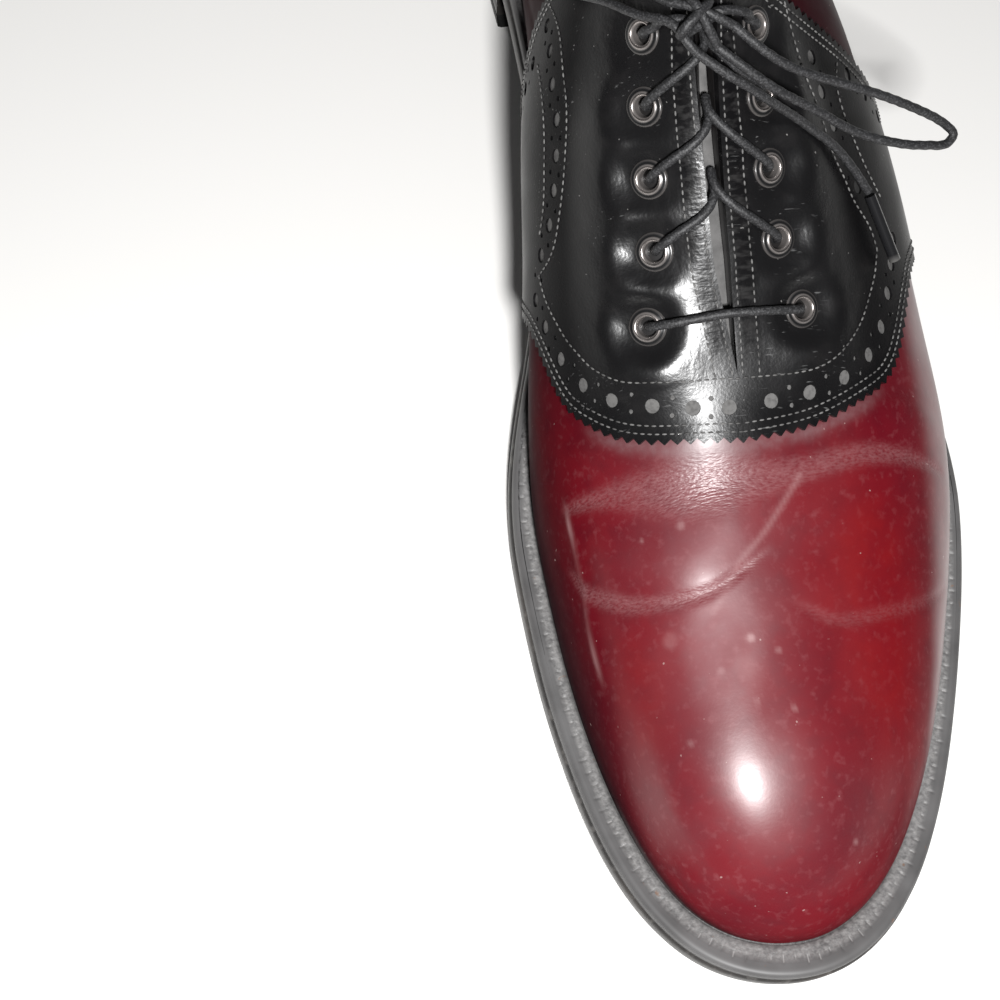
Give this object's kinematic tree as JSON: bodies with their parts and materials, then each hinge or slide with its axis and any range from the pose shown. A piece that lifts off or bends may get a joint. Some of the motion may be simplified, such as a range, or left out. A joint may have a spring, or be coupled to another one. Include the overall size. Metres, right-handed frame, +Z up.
{
  "type": "oxford shoe",
  "caption": "Left saddle oxford shoe: burgundy leather upper with a black laced saddle over the instep, welted leather sole and stacked heel, open for a foot.",
  "frame": {"origin": "on the floor, under the middle of the sole's outline", "axes": "+Z up, toe towards -Y, heel towards +Y, medial side (the side of the other foot) towards -X"},
  "size_m": [0.1055, 0.308, 0.1172],
  "materials": {
    "burgundy_leather": "polished burgundy grain leather, worn",
    "black_leather": "polished black leather",
    "tongue_leather": "soft dark leather",
    "sole_leather": "black-waxed sole leather",
    "heel_rubber": "matte black rubber",
    "insole_leather": "natural tan leather",
    "eyelet_metal": "black enamel, rubbed at the rim",
    "lace_cord": "waxed round cord",
    "aglet_film": "dark glossy tip"
  },
  "bodies": {
    "root": {"outsole": "sole_leather", "welt": "sole_leather", "heel_stack": "sole_leather", "heel_top_lift": "heel_rubber", "insole": "insole_leather", "upper": "burgundy_leather", "saddle": "black_leather", "tongue": "tongue_leather", "eyelet_medial_1": "eyelet_metal", "eyelet_medial_2": "eyelet_metal", "eyelet_medial_3": "eyelet_metal", "eyelet_medial_4": "eyelet_metal", "eyelet_medial_5": "eyelet_metal", "eyelet_lateral_1": "eyelet_metal", "eyelet_lateral_2": "eyelet_metal", "eyelet_lateral_3": "eyelet_metal", "eyelet_lateral_4": "eyelet_metal", "eyelet_lateral_5": "eyelet_metal", "lace_bar_1": "lace_cord", "lace_cross_2": "lace_cord", "lace_cross_3": "lace_cord", "lace_cross_4": "lace_cord", "lace_cross_5": "lace_cord", "lace_knot": "lace_cord", "lace_loop_lateral": "lace_cord", "lace_loop_medial": "lace_cord", "lace_end_lateral": "lace_cord", "lace_end_medial": "lace_cord", "aglet_lateral": "aglet_film", "aglet_medial": "aglet_film"}
  },
  "joints": []
}
